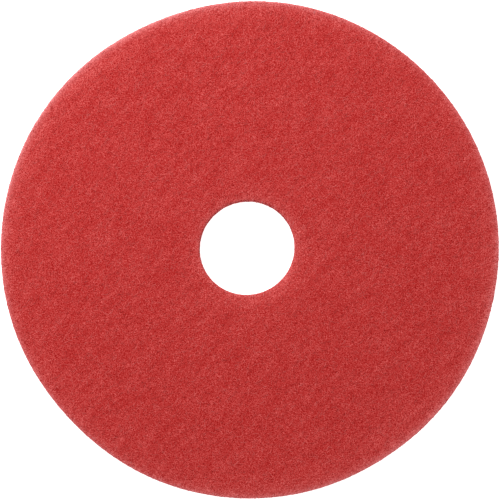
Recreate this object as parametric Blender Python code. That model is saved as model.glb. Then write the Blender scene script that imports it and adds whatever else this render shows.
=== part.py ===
"""Floor pad for a 17 inch rotary floor machine: a thick disc of bonded non-woven web.

The pad is cut from one continuous web of crimped fibres. Binder sprayed on from above and
below stiffens the web near its two working faces and leaves the middle springier, so the
disc is modelled as three bonded rings: an upper working face, a core and a lower working
face. It lies on its lower face, with the origin at the centre of that face and +Z up.
"""

import math

import bmesh
import bpy
from mathutils import Matrix

# Driving dimensions, in metres.
RIM_RADIUS = 0.2159  # a 17 inch pad
THICKNESS = 0.0254  # 1 inch of web
HOLE_RADIUS = 0.041275  # a 3 1/4 inch hole, for the pad driver's centring boss
HOLE_CENTRE = (-0.0025, 0.0008)  # the hole is punched a little off the rim's centre
FACE_DEPTH = 0.004  # how deep the sprayed binder stiffens each working face
BOND_GAP = 0.0003  # clearance between neighbouring rings, which are bonded in the web
ROLL_WIDTH = 0.0055  # a face starts to roll over this far from a cut edge
ROLL_DROP = 0.0032  # and has dropped by this much where it meets the cut wall

CIRCLE_SIDES = 96  # facets around each circle
ROLL_STEPS = 4  # facets across each rolled edge
SMOOTH_ANGLE = math.radians(40)

RIM = "rim"
HOLE = "hole"

# Principled settings of the two kinds of web: colour, roughness.
FACE_FINISH = ((0.51, 0.045, 0.041), 0.85)
CORE_FINISH = ((0.46, 0.036, 0.033), 0.92)


def clear_scene():
    """Leave nothing of the startup scene behind."""
    for item in list(bpy.data.objects):
        bpy.data.objects.remove(item, do_unlink=True)


def web_material(name, finish):
    """A matt, non-metallic material for dyed fibre web."""
    colour, roughness = finish
    material = bpy.data.materials.new(name)
    material.use_nodes = True
    shader = material.node_tree.nodes["Principled BSDF"]
    shader.inputs["Base Color"].default_value = (*colour, 1.0)
    shader.inputs["Roughness"].default_value = roughness
    shader.inputs["Metallic"].default_value = 0.0
    return material


def circle_edges(bm, edge, inset, height):
    """One circle along a cut edge, set back from it into the web, as its list of edges."""
    if edge == RIM:
        centre, radius = (0.0, 0.0), RIM_RADIUS - inset
    else:
        centre, radius = HOLE_CENTRE, HOLE_RADIUS + inset
    made = bmesh.ops.create_circle(
        bm,
        segments=CIRCLE_SIDES,
        radius=radius,
        matrix=Matrix.Translation((*centre, height)),
    )
    return list({link for vert in made["verts"] for link in vert.link_edges})


def ring(name, section, material):
    """A closed ring. Its section is a loop of stations, (edge, inset, height), each a circle."""
    bm = bmesh.new()
    loops = [circle_edges(bm, *station) for station in section]
    for here, following in zip(loops, loops[1:] + loops[:1]):
        bmesh.ops.bridge_loops(bm, edges=here + following)
    bmesh.ops.recalc_face_normals(bm, faces=bm.faces)
    mesh = bpy.data.meshes.new(name)
    bm.to_mesh(mesh)
    bm.free()
    mesh.shade_smooth()
    mesh.set_sharp_from_angle(angle=SMOOTH_ANGLE)
    mesh.materials.append(material)
    part = bpy.data.objects.new(name, mesh)
    bpy.context.scene.collection.objects.link(part)
    return part


def rolled_edge(face_height, outward):
    """Insets and heights of a quarter ellipse, from the cut wall round onto the flat face."""
    stations = []
    for step in range(ROLL_STEPS + 1):
        turn = 0.5 * math.pi * step / ROLL_STEPS
        inset = ROLL_WIDTH * (1.0 - math.cos(turn))
        drop = ROLL_DROP * (1.0 - math.sin(turn))
        stations.append((inset, face_height - outward * drop))
    return stations


def working_face(name, face_height, outward, material):
    """A stiff outer ring of the web. Outward is +1 for the upper face and -1 for the lower."""
    bond_height = face_height - outward * (FACE_DEPTH - 0.5 * BOND_GAP)
    roll = rolled_edge(face_height, outward)
    section = [(HOLE, 0.0, bond_height)]
    section += [(HOLE, inset, height) for inset, height in roll]
    section += [(RIM, inset, height) for inset, height in reversed(roll)]
    section += [(RIM, 0.0, bond_height)]
    return ring(name, section, material)


def core_web(name, material):
    """The springy middle of the web, with straight cut walls at the rim and in the hole."""
    low = FACE_DEPTH + 0.5 * BOND_GAP
    high = THICKNESS - FACE_DEPTH - 0.5 * BOND_GAP
    section = [(HOLE, 0.0, low), (HOLE, 0.0, high), (RIM, 0.0, high), (RIM, 0.0, low)]
    return ring(name, section, material)


def main():
    clear_scene()
    face_material = web_material("face_web", FACE_FINISH)
    core_material = web_material("core_web", CORE_FINISH)
    parts = [
        working_face("upper_working_face", THICKNESS, 1.0, face_material),
        core_web("core_web", core_material),
        working_face("lower_working_face", 0.0, -1.0, face_material),
    ]
    pad = bpy.data.objects.new("floor_pad", None)
    bpy.context.scene.collection.objects.link(pad)
    for part in parts:
        part.parent = pad


main()
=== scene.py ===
"""Looks of the floor pad: a lofty disc of crimped, resin-coated fibres, seen from above.

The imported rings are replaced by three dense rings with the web's relief on them, and over
those lie the fibres that can be seen singly. Both are built on one closed section of the pad,
its skin, so that the fibres follow the faces, roll over the lips and run round the cut walls.
"""

import math
from typing import NamedTuple

import bpy
import numpy as np
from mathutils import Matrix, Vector, noise


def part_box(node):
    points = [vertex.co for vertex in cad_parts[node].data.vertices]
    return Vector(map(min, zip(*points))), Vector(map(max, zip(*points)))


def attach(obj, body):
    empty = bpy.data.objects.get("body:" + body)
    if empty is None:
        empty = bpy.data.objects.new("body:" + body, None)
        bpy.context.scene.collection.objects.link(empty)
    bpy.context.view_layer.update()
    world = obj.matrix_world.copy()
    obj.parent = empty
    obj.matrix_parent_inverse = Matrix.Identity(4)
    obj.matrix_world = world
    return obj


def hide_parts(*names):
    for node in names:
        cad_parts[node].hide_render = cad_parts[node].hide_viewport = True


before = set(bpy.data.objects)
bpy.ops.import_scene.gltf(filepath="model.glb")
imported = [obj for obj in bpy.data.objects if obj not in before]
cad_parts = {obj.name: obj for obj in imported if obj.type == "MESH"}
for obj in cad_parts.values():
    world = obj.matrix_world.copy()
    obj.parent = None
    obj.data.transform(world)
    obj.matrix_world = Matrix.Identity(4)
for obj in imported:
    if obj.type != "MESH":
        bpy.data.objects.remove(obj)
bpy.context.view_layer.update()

MM = 0.001
PER_CM2 = 1e4  # square centimetres in a square metre
FULL_TURN = 2 * math.pi
QUARTER_TURN = 0.25 * FULL_TURN
TINY = 1e-9

# The frame's own sizes. The pad stands on z = 0 with its rim centred on the origin, and a bond is
# the height at which the core meets a working face.
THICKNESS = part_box("upper_working_face")[1].z
RIM_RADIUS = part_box("upper_working_face")[1].x
LOWER_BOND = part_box("core_web")[0].z
UPPER_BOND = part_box("core_web")[1].z


class Fade(NamedTuple):
    """Something that is strongest at a lip of the pad and fades away from it over a length."""

    length: float
    strength: float

    def at(self, away):
        return self.strength * np.exp(-away / self.length)


class Swell(NamedTuple):
    """Something that is strongest at one angle round the pad and fades on both sides of it."""

    angle: float
    strength: float
    half_width: float

    def at(self, theta):
        away = (theta - self.angle + math.pi) % FULL_TURN - math.pi
        return self.strength * np.exp(-((away / self.half_width) ** 2))


class Lip(NamedTuple):
    """What happens towards a lip, where a face meets a cut wall.

    The face falls away by its crown, and the web pales with fray, partly frayed ends and partly
    painted sheen. Painted edge light makes its pits shallower, so lighter. On the side that faces
    the light a painted highlight adds to its fray, and there it is pinched, which takes that
    share of the web's thickness.
    """

    crown: Fade
    fray_and_sheen: Fade
    painted_edge_light: Fade
    painted_highlight: Swell
    pinch: Swell


RIM = Lip(
    crown=Fade(7.0 * MM, 1.0 * MM),
    # fray: partly frayed ends, partly painted sheen
    fray_and_sheen=Fade(2.4 * MM, 0.44),
    # painted edge light: the pits near the lip made shallower, so lighter
    painted_edge_light=Fade(12.0 * MM, 0.10),
    # painted highlight on the side that faces the key light, added to the fray
    painted_highlight=Swell(math.radians(125), 0.8, math.radians(50)),
    pinch=Swell(math.radians(125), 0.06, math.radians(60)),
)
HOLE = Lip(
    crown=Fade(7.0 * MM, 1.6 * MM),
    # fray: partly frayed ends, partly painted sheen
    fray_and_sheen=Fade(4.0 * MM, 0.05),
    # painted edge light: the pits near the lip made shallower, so lighter
    painted_edge_light=Fade(9.0 * MM, 0.09),
    # painted highlight on the side that faces the key light, added to the fray
    painted_highlight=Swell(math.radians(325), 1.5, math.radians(60)),
    pinch=Swell(math.radians(325), 0.25, math.radians(70)),
)
PINCH_LENGTH = 7.0 * MM  # how far in from a lip a pinch reaches

# The section of the pad.
ROLL_WIDTH = 1.3 * MM  # the rolled lip beside each cut wall
ROLL_DROP = 0.9 * MM
ROLL_STEPS = 5
UPPER_FACE_STEPS = 122
LOWER_FACE_STEPS = 60
FACE_WALL_STEPS = 2
CORE_WALL_STEPS = 14
SECTORS = 720

# Places where the die has left the rim short of its circle.
RIM_FLATS = (
    Swell(math.radians(113), 2.1 * MM, math.radians(22)),
    Swell(math.radians(222), 1.4 * MM, math.radians(18)),
    Swell(math.radians(303), 0.8 * MM, math.radians(14)),
    Swell(math.radians(345), 0.6 * MM, math.radians(18)),
)

# The hole has pulled slightly oval along this angle, and the web bulges into it on one side.
HOLE_OVAL = 0.45 * MM
HOLE_OVAL_ANGLE = math.radians(28)
HOLE_BULGE = Swell(math.radians(115), 0.27 * MM, math.radians(60))

# Relief of the web on its nominal skin. The fibres were carded at this angle from +X.
CARDING_ANGLE = math.radians(46)
STREAK_LENGTH, STREAK_WIDTH, STREAK_HEIGHT = 24 * MM, 5 * MM, 0.05 * MM
TUFT_SIZE, TUFT_HEIGHT = 4.5 * MM, 0.08 * MM
GRAIN_SIZE, GRAIN_HEIGHT = 2.4 * MM, 0.08 * MM
# Fibres that lie along the rim come loose more than those cut across, by this share.
LOOSE_SHARE = 0.25

# Shades of the web, from painted shade in its pits to bare fibre, then the pale of frayed fibre
# with painted sheen. Linear colours.
PIT_SHADE = (0.33, 0.002, 0.002)
DEEP = (0.385, 0.007, 0.006)
RED = (0.46, 0.021, 0.019)
BRIGHT = (0.585, 0.062, 0.057)
PALE = (0.76, 0.143, 0.134)
FRAYED_AND_SHEEN = (0.83, 0.275, 0.278)
WHITE = (1.0, 1.0, 1.0)
# The depth in the web's pattern at which each shade shows: the fibres' own shades, and at the
# deepest, painted shade in the pits.
DEPTHS = ((0.42, PALE), (0.56, BRIGHT), (0.72, RED), (0.88, DEEP), (1.0, PIT_SHADE))

# The web's pattern: two nets of threads that wander, specks, and streaks along the carding.
COARSE_NET, COARSE_SHARE = 2.1 * MM, 1.3
FINE_NET, FINE_TURN, FINE_STRETCH = 1.3 * MM, 0.7, 1.4
WANDER_SIZE, WANDER_REACH = 3.0 * MM, 1.6 * MM
SPECK_SIZE = 0.9 * MM
MOTTLE_SIZE, MOTTLE_STRETCH = 6.0 * MM, 4.0
LAYER_SIZE, LAYER_SQUEEZE = 9.0 * MM, 4.5
NET_DEPTH, SPECK_DEPTH, MOTTLE_DEPTH = 1.65, 1.0, 0.21
NOISE_DETAIL = 3.0
BUMP_STRENGTH, BUMP_HEIGHT = 0.25, 0.5 * MM
FRAY_AND_SHEEN_BOTTOM = 1.7  # the depth at which neither fray nor painted sheen would show
SMOOTHEST, ROUGHENING = 0.55, 0.4  # the web's least roughness, and how much its specks add
WEB_GLOSS, FRAYED_GLOSS = 0.15, 0.6
FIBRE_ROUGHNESS, FRAYED_ROUGHNESS = 0.5, 0.4

# How much deeper the pattern lies on a face and in a cut wall, darkening its pits and voids with
# painted shade, and the strength of flat layers.
FACE_DARKENING, FACE_LAYERING = -0.025, 0.0
WALL_DARKENING, WALL_LAYERING = -0.215, 0.75

SEED = 17
SMOOTH_ANGLE = math.radians(50)

# What a ring stores on its points for its material.
FRAY_AND_SHEEN_SHARE = "fray_and_sheen_share"
PAINTED_EDGE_LIGHT_SHARE = "painted_edge_light_share"


# ---------------------------------------------------------------- the skin


def hole_circle():
    """Centre and radius of the centre hole, from the core's solid."""
    points = np.array([vert.co[:2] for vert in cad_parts["core_web"].data.vertices])
    wall = points[np.hypot(*points.T) < 0.5 * RIM_RADIUS]
    low, high = wall.min(axis=0), wall.max(axis=0)
    return 0.5 * (low + high), 0.5 * (high[0] - low[0])


HOLE_CENTRE, HOLE_RADIUS = hole_circle()
WEB_WIDTH = RIM_RADIUS - HOLE_RADIUS


def hole_radius(theta):
    """The hole's radius at an angle: more along its oval, less across it and at its bulge."""
    oval = HOLE_OVAL * np.cos(2 * (theta - HOLE_OVAL_ANGLE))
    return HOLE_RADIUS + oval - HOLE_BULGE.at(theta)


def rim_radius(theta):
    """The rim's radius at an angle, less where the die cut it short."""
    return RIM_RADIUS - sum(flat.at(theta) for flat in RIM_FLATS)


def edge_drop(inset, crown):
    """How far a face has fallen at a distance from a cut wall."""
    reach = 1.0 - np.minimum(inset, ROLL_WIDTH) / ROLL_WIDTH
    roll = ROLL_DROP * (1.0 - np.sqrt(1.0 - reach**2))
    return roll + crown.at(inset)


def face_section(steps):
    """Upper face from the hole's wall to the rim's: distance from the hole's wall, and height."""
    turn = np.linspace(0.0, QUARTER_TURN, ROLL_STEPS, endpoint=False)
    roll = ROLL_WIDTH * (1.0 - np.cos(turn))
    flat = np.linspace(ROLL_WIDTH, WEB_WIDTH - ROLL_WIDTH, steps)
    out = np.concatenate([roll, flat, WEB_WIDTH - roll[::-1]])
    height = THICKNESS - edge_drop(out, HOLE.crown) - edge_drop(WEB_WIDTH - out, RIM.crown)
    return np.stack([out, height], axis=1)


def wall_section(out, start, end, steps):
    """A cut wall from one height to another, without its last point."""
    heights = np.linspace(start, end, steps, endpoint=False)
    return np.stack([np.full(steps, out), heights], axis=1)


def upper_section(steps=UPPER_FACE_STEPS):
    """The upper working face with its share of both cut walls."""
    face = face_section(steps)
    up = wall_section(0.0, UPPER_BOND, face[0, 1], FACE_WALL_STEPS)
    down = wall_section(WEB_WIDTH, UPPER_BOND, face[-1, 1], FACE_WALL_STEPS)[::-1]
    return np.concatenate([up, face, down])


def lower_section():
    """The lower working face: the upper one turned over."""
    turned = upper_section(LOWER_FACE_STEPS)[::-1].copy()
    turned[:, 1] = THICKNESS - turned[:, 1]
    return turned


def core_section():
    """The core's two cut walls."""
    steps = np.linspace(LOWER_BOND, UPPER_BOND, CORE_WALL_STEPS)
    hole = np.stack([np.zeros(CORE_WALL_STEPS), steps], axis=1)
    rim = np.stack([np.full(CORE_WALL_STEPS, WEB_WIDTH), steps[::-1]], axis=1)
    return np.concatenate([hole, rim])


def web_point(out, theta):
    """X and Y at a distance out from the hole's wall, on the line from it to the rim."""
    share = out / WEB_WIDTH
    reach = (1 - share) * hole_radius(theta) + share * rim_radius(theta)
    x = (1 - share) * HOLE_CENTRE[0] + reach * np.cos(theta)
    y = (1 - share) * HOLE_CENTRE[1] + reach * np.sin(theta)
    return x, y


def pinched(out, height, theta):
    """A height drawn towards the web's middle where the die pinched it."""
    at_rim = RIM.pinch.at(theta) * np.exp((out - WEB_WIDTH) / PINCH_LENGTH)
    at_hole = HOLE.pinch.at(theta) * np.exp(-out / PINCH_LENGTH)
    middle = 0.5 * THICKNESS
    return middle + (height - middle) * (1.0 - at_rim - at_hole)


def section_normals(section):
    """Outward normals of a section that is walked up the hole, out and down the rim."""
    along = np.gradient(section, axis=0)
    along /= np.linalg.norm(along, axis=1, keepdims=True)
    return np.stack([-along[:, 1], along[:, 0]], axis=1)


def relief(points):
    """How far the web stands proud of its skin at each point: streaks, tufts and grain."""
    cosine, sine = math.cos(CARDING_ANGLE), math.sin(CARDING_ANGLE)
    heights = np.empty(len(points))
    for i, (x, y, z) in enumerate(points.tolist()):
        along, across = x * cosine + y * sine, y * cosine - x * sine
        streak = noise.noise((along / STREAK_LENGTH, across / STREAK_WIDTH, z / STREAK_WIDTH))
        tuft = noise.noise((x / TUFT_SIZE, y / TUFT_SIZE, z / TUFT_SIZE))
        grain = noise.noise((x / GRAIN_SIZE, y / GRAIN_SIZE, z / GRAIN_SIZE))
        heights[i] = STREAK_HEIGHT * streak + TUFT_HEIGHT * tuft + GRAIN_HEIGHT * grain
    return heights


def lift_from_skin(out, height, normals, theta, lift=0.0):
    """Points raised from the skin by the relief and by lift, and the ways they were raised."""
    x, y = web_point(out, theta)
    base = np.stack([x, y, pinched(out, height, theta)], axis=-1)
    outward = np.stack(
        [normals[..., 0] * np.cos(theta), normals[..., 0] * np.sin(theta), normals[..., 1]],
        axis=-1,
    )
    rise = relief(base.reshape(-1, 3)).reshape(theta.shape) + lift
    return base + outward * rise[..., None], outward


# ---------------------------------------------------------------- the web's rings


def mesh_piece(name, points, faces, material):
    """A piece of the pad from arrays of points and faces."""
    mesh = bpy.data.meshes.new(name)
    mesh.from_pydata(points.tolist(), [], faces.tolist())
    mesh.materials.append(material)
    piece = bpy.data.objects.new(name, mesh)
    bpy.context.scene.collection.objects.link(piece)
    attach(piece, "root")
    return piece


def store_on_points(mesh, name, values):
    """Give every point of a mesh a number, which its material can read by name."""
    attribute = mesh.attributes.new(name, "FLOAT", "POINT")
    attribute.data.foreach_set("value", np.ravel(values).astype(np.float32))


def store_lip_shares(mesh, out, height, theta):
    """Store at each point its share of fray with painted sheen and of painted edge light, most at
    the lips.
    """
    below_roll = np.minimum(height, THICKNESS - height) - ROLL_DROP
    from_rim = WEB_WIDTH - out + np.maximum(below_roll - RIM.crown.strength, 0.0)
    from_hole = out + np.maximum(below_roll - HOLE.crown.strength, 0.0)
    loose = 1.0 - LOOSE_SHARE * np.cos(2.0 * (theta - CARDING_ANGLE))
    # On the side of each lip that faces the light, a painted highlight is added to its fray.
    rim_fray_and_sheen = RIM.fray_and_sheen.at(from_rim) * (loose + RIM.painted_highlight.at(theta))
    hole_fray_and_sheen = HOLE.fray_and_sheen.at(from_hole) * (1.0 + HOLE.painted_highlight.at(theta))
    fray_and_sheen = rim_fray_and_sheen + hole_fray_and_sheen
    # Painted edge light near both lips, lightening the web's pits.
    painted_edge_light = RIM.painted_edge_light.at(from_rim) * loose + HOLE.painted_edge_light.at(from_hole)
    store_on_points(mesh, FRAY_AND_SHEEN_SHARE, fray_and_sheen)
    store_on_points(mesh, PAINTED_EDGE_LIGHT_SHARE, painted_edge_light)


def web_ring(name, section, node, material):
    """A closed ring of the web in place of a packed one, its section carried round in sectors."""
    theta = np.linspace(0.0, FULL_TURN, SECTORS, endpoint=False)
    theta = np.broadcast_to(theta, (len(section), SECTORS))
    out = np.broadcast_to(section[:, :1], theta.shape)
    height = np.broadcast_to(section[:, 1:], theta.shape)
    normals = np.broadcast_to(section_normals(section)[:, None, :], (*theta.shape, 2))
    points, _ = lift_from_skin(out, height, normals, theta)
    corner = np.arange(theta.size).reshape(theta.shape)
    up = np.roll(corner, -1, axis=0)
    corners = [corner, up, np.roll(up, -1, axis=1), np.roll(corner, -1, axis=1)]
    faces = np.stack(corners, axis=-1)
    ring = mesh_piece(name, points.reshape(-1, 3), faces.reshape(-1, 4), material)
    ring.data.shade_smooth()
    ring.data.set_sharp_from_angle(angle=SMOOTH_ANGLE)
    store_lip_shares(ring.data, out, height, theta)
    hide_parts(node)


# ---------------------------------------------------------------- fibres

FIBRE_SIDES = 3
FIBRE_POINTS = 5
TIP_SHARE = 0.45  # a fibre's radius at its tips, as a share of its middle
ROOT_DEPTH = 0.25 * MM  # its tips are buried this deep in the web
ARCH_POWER = 0.7  # below 1, a fibre leaves the web steeply and runs flat along its middle
WEAVE, WEAVE_TURN = 0.07 * MM, 9.0  # how far it weaves in and out, and through what angle
CRIMP_TURN = 2.1  # radians of its crimp from one point to the next
LENGTH_VARIATION = 0.3
RADIUS_RANGE = (0.75, 1.25)
LIP_WIDTH = 4.5 * MM  # how far in from a cut wall the frayed ends start
ROLL_SPREAD = 0.4  # how far fibres roll about their own length, in radians
AREA_SAMPLES = 200


class Shade(NamedTuple):
    """Fibres of one colour: how many in a square metre, how thick, and how high they lie."""

    name: str
    colour: tuple
    density: float
    radius: float
    lift: tuple


class Lay(NamedTuple):
    """How fibres lie: their length, the way they head, and how they stray, bend and crimp."""

    length: float
    heading: float
    spread: float
    sweep: float
    crimp: float


class Skin:
    """The whole closed section, walked by distance, for fibres that run across its parts."""

    def __init__(self):
        hole = wall_section(0.0, LOWER_BOND, UPPER_BOND, CORE_WALL_STEPS)
        rim = wall_section(WEB_WIDTH, UPPER_BOND, LOWER_BOND, CORE_WALL_STEPS)
        upper, lower = upper_section(), lower_section()
        self.section = np.concatenate([hole, upper, rim, lower, hole[:1]])
        wrapped = np.concatenate([self.section[-2:-1], self.section, self.section[1:2]])
        self.normals = section_normals(wrapped)[1:-1]
        steps = np.linalg.norm(np.diff(self.section, axis=0), axis=1)
        self.walked = np.concatenate([[0.0], np.cumsum(steps)])
        self.length = self.walked[-1]
        starts = np.cumsum([0, len(hole), len(upper), len(rim), len(lower)])
        marks = self.walked[starts]
        self.spans = dict(zip(("hole", "upper", "rim", "lower"), zip(marks[:-1], marks[1:])))
        self.add_lips()

    def add_lips(self):
        """Spans for the frayed ends, from where the faces meet the cut walls."""
        for face, first, last in (("upper", "hole", "rim"), ("lower", "rim", "hole")):
            start, end = self.spans[face]
            self.spans[f"{face}_{first}_lip"] = (start, start + LIP_WIDTH)
            self.spans[f"{face}_{last}_lip"] = (end - LIP_WIDTH, end)

    def radius(self, walked):
        """Distance from the pad's axis, about the same all round."""
        return HOLE_RADIUS + np.interp(walked % self.length, self.walked, self.section[:, 0])

    def area(self, span):
        start, end = self.spans[span]
        mean_radius = self.radius(np.linspace(start, end, AREA_SAMPLES)).mean()
        return FULL_TURN * mean_radius * (end - start)

    def at(self, walked, theta, lift):
        """Points raised by lift at distances along the section and angles round the pad."""
        here = walked % self.length
        out, height = (np.interp(here, self.walked, self.section[:, i]) for i in (0, 1))
        normals = [np.interp(here, self.walked, self.normals[:, i]) for i in (0, 1)]
        normals = np.stack(normals, axis=-1)
        normals /= np.linalg.norm(normals, axis=-1, keepdims=True)
        return lift_from_skin(out, height, normals, theta, lift)


def scatter(skin, span, density, rng):
    """Starting places spread evenly over a span of the skin, as distances and angles."""
    count = int(density * skin.area(span))
    walked = np.empty(0)
    while len(walked) < count:
        tries = rng.uniform(*skin.spans[span], count)
        kept = rng.uniform(0.0, RIM_RADIUS, count) < skin.radius(tries)
        walked = np.append(walked, tries[kept])
    return walked[:count], rng.uniform(0.0, FULL_TURN, count)


def crimped_walk(skin, span, density, lay, rng):
    """The ways that fibres take over one span of the skin, as distances and angles.

    A heading of 0 runs along the section, away from the hole on the upper face, and a
    quarter turn runs round the pad. On the faces it is an angle from +X instead.
    """
    walked, theta = scatter(skin, span, density, rng)
    count = len(walked)
    step = lay.length * rng.lognormal(0.0, LENGTH_VARIATION, count) / (FIBRE_POINTS - 1)
    heading = rng.normal(lay.heading, lay.spread, count)
    heading += math.pi * rng.integers(0, 2, count)
    sweep = rng.normal(0.0, lay.sweep, count) / FIBRE_POINTS
    phase = rng.uniform(0.0, FULL_TURN, count)
    carded = span in ("upper", "lower")
    facing = -1.0 if span == "lower" else 1.0
    way = [(walked, theta)]
    for i in range(1, FIBRE_POINTS):
        turn = heading + sweep * i + lay.crimp * np.sin(phase + CRIMP_TURN * i)
        if carded:
            turn = turn - theta
        walked = walked + facing * step * np.cos(turn)
        theta = theta + step * np.sin(turn) / skin.radius(walked)
        way.append((walked, theta))
    return (np.stack(columns, axis=1) for columns in zip(*way))


def crimped_paths(skin, span, shade, lay, rng):
    """Centrelines of fibres laid on one span of the skin, and the skin's normals along them."""
    walked, theta = crimped_walk(skin, span, shade.density, lay, rng)
    along = np.linspace(0.0, 1.0, FIBRE_POINTS)
    arch = np.sin(math.pi * along) ** ARCH_POWER
    rise = rng.uniform(*shade.lift, (len(walked), 1))
    weave = WEAVE * np.sin(rng.uniform(0.0, FULL_TURN, (len(walked), 1)) + WEAVE_TURN * along)
    return skin.at(walked, theta, rise * arch - ROOT_DEPTH * (1.0 - arch) + weave)


def unit_cross(a, b):
    """Cross products of rows, made unit length."""
    product = np.cross(a, b)
    return product / np.maximum(np.linalg.norm(product, axis=-1, keepdims=True), TINY)


def tubes(paths, outward, radius, roll):
    """Closed three-sided tubes round centrelines, as points and triangles.

    One side faces outward, but for the roll of each tube about its centreline.
    """
    count, points = paths.shape[:2]
    tangent = np.gradient(paths, axis=1)
    side = unit_cross(tangent, outward)
    lift = unit_cross(side, tangent)
    along = np.linspace(-1.0, 1.0, points)
    taper = TIP_SHARE + (1.0 - TIP_SHARE) * np.sqrt(1.0 - along**2)
    reach = (radius[:, None] * taper)[..., None]
    first_corner = QUARTER_TURN - 0.5 * FULL_TURN / FIBRE_SIDES
    corners = first_corner + FULL_TURN * np.arange(FIBRE_SIDES) / FIBRE_SIDES
    turns = [(roll + corner)[:, None, None] for corner in corners]
    rings = [paths + reach * (np.cos(turn) * side + np.sin(turn) * lift) for turn in turns]
    verts = np.stack(rings, axis=2)
    index = np.arange(count * points * FIBRE_SIDES).reshape(count, points, FIBRE_SIDES)
    here, ahead = index[:, :-1], index[:, 1:]
    here_next, ahead_next = np.roll(here, -1, axis=2), np.roll(ahead, -1, axis=2)
    first = np.stack([here, ahead, ahead_next], axis=-1).reshape(-1, 3)
    second = np.stack([here, ahead_next, here_next], axis=-1).reshape(-1, 3)
    tips = np.concatenate([index[:, 0], index[:, -1, ::-1]])
    return verts.reshape(-1, 3), np.concatenate([first, second, tips])


def fibre_piece(name, skin, spans, shade, lay, material, rng):
    """One piece that holds every fibre laid alike on some spans of the skin."""
    laid = [crimped_paths(skin, span, shade, lay, rng) for span in spans]
    paths, outward = (np.concatenate(parts) for parts in zip(*laid))
    radius = shade.radius * rng.uniform(*RADIUS_RANGE, len(paths))
    roll = rng.normal(0.0, ROLL_SPREAD, len(paths))
    points, faces = tubes(paths, outward, radius, roll)
    mesh_piece(name, points, faces, material)


# ---------------------------------------------------------------- materials


def principled(name, colour, roughness, gloss):
    """A new material and its Principled shader, with a plain colour and gloss."""
    material = bpy.data.materials.new(name)
    material.use_nodes = True
    shader = material.node_tree.nodes["Principled BSDF"]
    shader.inputs["Base Color"].default_value = (*colour, 1.0)
    shader.inputs["Roughness"].default_value = roughness
    shader.inputs["Specular IOR Level"].default_value = gloss
    return material, shader


class Graph:
    """Short calls for the nodes of one material."""

    def __init__(self, material):
        self.nodes = material.node_tree.nodes
        self.links = material.node_tree.links
        self.place = self.nodes.new("ShaderNodeTexCoord").outputs["Object"]

    def feed(self, socket, value):
        """Link a socket to an output, or set it to a plain value."""
        if isinstance(value, bpy.types.NodeSocket):
            self.links.new(value, socket)
        else:
            socket.default_value = value

    def math(self, operation, *values):
        node = self.nodes.new("ShaderNodeMath")
        node.operation = operation
        for socket, value in zip(node.inputs, values):
            self.feed(socket, value)
        return node.outputs["Value"]

    def vector(self, operation, *values):
        node = self.nodes.new("ShaderNodeVectorMath")
        node.operation = operation
        for socket, value in zip(node.inputs, values):
            self.feed(socket, value)
        return next(output for output in node.outputs if output.enabled)

    def stored(self, name):
        """A number that the mesh stores on its points."""
        node = self.nodes.new("ShaderNodeAttribute")
        node.attribute_name = name
        return node.outputs["Fac"]

    def noise(self, vector, size, output="Fac"):
        """Noise with features of about a size in metres."""
        node = self.nodes.new("ShaderNodeTexNoise")
        self.feed(node.inputs["Vector"], vector)
        node.inputs["Scale"].default_value = 1.0 / size
        node.inputs["Detail"].default_value = NOISE_DETAIL
        return node.outputs[output]

    def crossings(self, vector, size):
        """How far a point is from the borders of cells of a size, as a share of the size."""
        node = self.nodes.new("ShaderNodeTexVoronoi")
        node.feature = "DISTANCE_TO_EDGE"
        self.feed(node.inputs["Vector"], vector)
        node.inputs["Scale"].default_value = 1.0 / size
        return node.outputs["Distance"]

    def turned(self, vector, angle, stretch):
        """A vector turned about Z and then squeezed along its new X by stretch."""
        node = self.nodes.new("ShaderNodeMapping")
        self.feed(node.inputs["Vector"], vector)
        node.vector_type = "TEXTURE"
        node.inputs["Rotation"].default_value = (0.0, 0.0, angle)
        node.inputs["Scale"].default_value = (stretch, 1.0, 1.0)
        return node.outputs["Vector"]

    def wandering(self, vector, size, reach):
        """A vector that wanders by up to about reach, so that straight lines bend."""
        swirl = self.noise(vector, size, "Color")
        return self.vector("MULTIPLY_ADD", swirl, (reach, reach, reach), vector)

    def ramp(self, value, stops):
        """Colours along a value, from stops of (place, colour)."""
        node = self.nodes.new("ShaderNodeValToRGB")
        elements = node.color_ramp.elements
        for place, _ in stops[len(elements):]:
            elements.new(place)
        for element, (place, colour) in zip(elements, stops):
            element.position = place
            element.color = (*colour, 1.0)
        self.feed(node.inputs["Fac"], value)
        return node.outputs["Color"]

    def mix(self, share, first, second):
        """One colour turning into another."""
        node = self.nodes.new("ShaderNodeMix")
        node.data_type = "RGBA"
        factor, first_colour, second_colour = (socket for socket in node.inputs if socket.enabled)
        self.feed(factor, share)
        self.feed(first_colour, first)
        self.feed(second_colour, second)
        return next(output for output in node.outputs if output.enabled)

    def bump(self, depth):
        """Normals of a surface that falls away as depth grows."""
        node = self.nodes.new("ShaderNodeBump")
        node.invert = True
        node.inputs["Strength"].default_value = BUMP_STRENGTH
        node.inputs["Distance"].default_value = BUMP_HEIGHT
        self.feed(node.inputs["Height"], depth)
        return node.outputs["Normal"]


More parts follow.
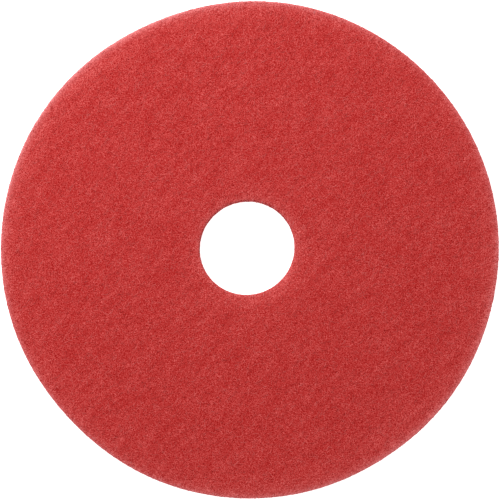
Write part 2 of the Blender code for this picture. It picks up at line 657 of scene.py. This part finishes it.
def web_depth(graph, darkening, layering):
    """How deep each point of the web looks, from bare thread to open pit, and its specks; the
    deepest are darkened as painted shade.
    """
    bent = graph.wandering(graph.place, WANDER_SIZE, WANDER_REACH)
    coarse = graph.crossings(bent, COARSE_NET)
    fine = graph.crossings(graph.turned(bent, FINE_TURN, FINE_STRETCH), FINE_NET)
    threads = graph.math("MINIMUM", graph.math("MULTIPLY", coarse, COARSE_SHARE), fine)
    specks = graph.noise(graph.place, SPECK_SIZE)
    mottle = graph.noise(graph.turned(graph.place, CARDING_ANGLE, MOTTLE_STRETCH), MOTTLE_SIZE)
    flattened = graph.vector("MULTIPLY", bent, (1.0, 1.0, LAYER_SQUEEZE))
    layers = graph.noise(flattened, LAYER_SIZE)
    # Painted edge light makes the pits near the lips shallower, so lighter.
    depth = graph.math("SUBTRACT", darkening, graph.stored(PAINTED_EDGE_LIGHT_SHARE))
    for pattern, weight in (
        (threads, NET_DEPTH),
        (specks, SPECK_DEPTH),
        (mottle, MOTTLE_DEPTH),
        (layers, layering),
    ):
        depth = graph.math("MULTIPLY_ADD", pattern, weight, depth)
    return depth, specks


def web_material(name, darkening, layering):
    """The web between its single fibres: threads round open pits, darkened with depth as painted
    shade, and mottled along the carding.

    darkening deepens every pit, adding painted shade, and layering is how strongly flat layers
    show in a cut wall. Near the lips the web pales with fray, partly frayed ends and partly
    painted sheen, and painted edge light makes its pits shallower.
    """
    material, shader = principled(name, RED, SMOOTHEST, WEB_GLOSS)
    graph = Graph(material)
    depth, specks = web_depth(graph, darkening, layering)
    bareness = graph.math("SUBTRACT", FRAY_AND_SHEEN_BOTTOM, depth)
    # Pale fray near the lips: partly frayed ends and partly painted sheen, less in the pits.
    frayed_and_sheen = graph.math("MULTIPLY", graph.stored(FRAY_AND_SHEEN_SHARE), bareness)
    colour = graph.mix(frayed_and_sheen, graph.ramp(depth, DEPTHS), (*FRAYED_AND_SHEEN, 1.0))
    graph.feed(shader.inputs["Base Color"], colour)
    roughness = graph.math("MULTIPLY_ADD", specks, ROUGHENING, SMOOTHEST)
    graph.feed(shader.inputs["Roughness"], roughness)
    graph.feed(shader.inputs["Normal"], graph.bump(depth))
    return material


# ---------------------------------------------------------------- stage

CAMERA_TARGET = Vector((0.05 * MM, -1.25 * MM, THICKNESS - ROLL_DROP))
CAMERA_DISTANCE = 1.8
CAMERA_TILT = math.radians(1.4)
FRAME_WIDTH = 0.4329  # what the camera sees across at its target
SENSOR_WIDTH = 36.0
KEY_PLACE = (-0.56, 0.97, 1.11)
KEY_SIZE, KEY_POWER = 0.8, 18.2
WORLD_STRENGTH, BACKDROP_STRENGTH = 0.60, 1.5
FLOOR_SIZE, FLOOR_HEIGHT = 12.0, -0.8 * MM  # just below the lowest fibres
FLOOR_COLOUR, FLOOR_ROUGHNESS, FLOOR_GLOSS = (0.9, 0.9, 0.9), 0.9, 0.5
FLOOR_GLOW = 0.9


def aim(thing, target):
    """Turn a camera's or a light's -Z towards a point, with +Y up."""
    thing.rotation_euler = (Vector(target) - thing.location).to_track_quat("-Z", "Y").to_euler()


def add_camera():
    """A long lens above the pad, leaning slightly towards its near side."""
    data = bpy.data.cameras.new("camera")
    data.sensor_width = SENSOR_WIDTH
    data.lens = SENSOR_WIDTH * CAMERA_DISTANCE / FRAME_WIDTH
    camera = bpy.data.objects.new("camera", data)
    lean = Vector((0.0, -math.sin(CAMERA_TILT), math.cos(CAMERA_TILT)))
    camera.location = CAMERA_TARGET + CAMERA_DISTANCE * lean
    aim(camera, CAMERA_TARGET)
    bpy.context.scene.collection.objects.link(camera)
    bpy.context.scene.camera = camera


def add_key_light():
    """A square soft box that faces the pad."""
    data = bpy.data.lights.new("key", "AREA")
    data.size = KEY_SIZE
    data.energy = KEY_POWER
    light = bpy.data.objects.new("key", data)
    light.location = KEY_PLACE
    aim(light, (0.0, 0.0, 0.0))
    bpy.context.scene.collection.objects.link(light)


def add_floor():
    """A light-table floor, so bright that the pad's shadow hardly shows on it."""
    bpy.ops.mesh.primitive_plane_add(size=FLOOR_SIZE, location=(0.0, 0.0, FLOOR_HEIGHT))
    floor = bpy.context.object
    floor.name = "floor"
    material, shader = principled("floor_white", FLOOR_COLOUR, FLOOR_ROUGHNESS, FLOOR_GLOSS)
    shader.inputs["Emission Color"].default_value = (*WHITE, 1.0)
    shader.inputs["Emission Strength"].default_value = FLOOR_GLOW
    floor.data.materials.append(material)


def add_world():
    """Even white light from all round, and a backdrop that the camera sees brighter."""
    world = bpy.data.worlds.new("studio")
    world.use_nodes = True
    nodes, links = world.node_tree.nodes, world.node_tree.links
    background = nodes["Background"]
    background.inputs["Color"].default_value = (*WHITE, 1.0)
    strength = nodes.new("ShaderNodeMapRange")
    strength.inputs["To Min"].default_value = WORLD_STRENGTH
    strength.inputs["To Max"].default_value = BACKDROP_STRENGTH
    light_path = nodes.new("ShaderNodeLightPath")
    links.new(light_path.outputs["Is Camera Ray"], strength.inputs["Value"])
    links.new(strength.outputs["Result"], background.inputs["Strength"])
    bpy.context.scene.world = world


# ---------------------------------------------------------------- the pad

SHADES = (
    Shade("pale", PALE, 2.6 * PER_CM2, 0.10 * MM, (0.16 * MM, 0.28 * MM)),
    Shade("bright", BRIGHT, 5.2 * PER_CM2, 0.12 * MM, (0.10 * MM, 0.22 * MM)),
    Shade("red", RED, 4.5 * PER_CM2, 0.12 * MM, (0.04 * MM, 0.16 * MM)),
    Shade("deep", DEEP, 3.5 * PER_CM2, 0.12 * MM, (0.0, 0.10 * MM)),
)
FRAY = Shade("frayed_and_sheen", FRAYED_AND_SHEEN, 34.0 * PER_CM2, 0.09 * MM, (0.05 * MM, 0.35 * MM))

CARDED = Lay(6.0 * MM, heading=CARDING_ANGLE, spread=0.60, sweep=2.0, crimp=0.35)
ROUND_THE_PAD = CARDED._replace(heading=QUARTER_TURN)
OVER_THE_LIP = Lay(2.6 * MM, heading=0.0, spread=0.6, sweep=0.8, crimp=0.5)


class Place(NamedTuple):
    """Where fibres lie, in which material slot (not used), and how many, as a share of the
    shade's own.
    """

    name: str
    spans: tuple
    slot: str
    share: float
    lay: Lay


PLACES = (
    Place("upper", ("upper",), "face_web", 1.0, CARDED),
    Place("lower", ("lower",), "face_web", 0.4, CARDED),
    Place("wall", ("hole", "rim"), "core_web", 1.3, ROUND_THE_PAD),
)
LIPS = (
    Place("upper_rim", ("upper_rim_lip",), "face_web", 1.0, OVER_THE_LIP),
    Place("lower_rim", ("lower_rim_lip",), "face_web", 1.0, OVER_THE_LIP),
    Place("hole", ("upper_hole_lip", "lower_hole_lip"), "face_web", 0.4, OVER_THE_LIP),
)


def sow(skin, shade, places, material, rng):
    """Lay fibres of one shade in several places."""
    for place in places:
        name = f"{place.name}_{shade.name}_fibres"
        sown = shade._replace(density=shade.density * place.share)
        fibre_piece(name, skin, place.spans, sown, place.lay, material, rng)


def add_fibres():
    """Every fibre of the pad: four shades in three places, and frayed ends at the lips."""
    rng = np.random.default_rng(SEED)
    skin = Skin()
    for shade in SHADES:
        name = "fibre_" + shade.name
        material, _ = principled(name, shade.colour, FIBRE_ROUGHNESS, WEB_GLOSS)
        sow(skin, shade, PLACES, material, rng)
    material, _ = principled("fibre_frayed_and_sheen", FRAYED_AND_SHEEN, FRAYED_ROUGHNESS, FRAYED_GLOSS)
    sow(skin, FRAY, LIPS, material, rng)


def main():
    bpy.context.scene.view_settings.view_transform = "Standard"
    add_camera()
    add_floor()
    add_world()
    add_key_light()
    face_web = web_material("face_web", FACE_DARKENING, FACE_LAYERING)
    core_web = web_material("core_web", WALL_DARKENING, WALL_LAYERING)
    web_ring("upper_face_ring", upper_section(), "upper_working_face", face_web)
    web_ring("core_ring", core_section(), "core_web", core_web)
    web_ring("lower_face_ring", lower_section(), "lower_working_face", face_web)
    add_fibres()


main()
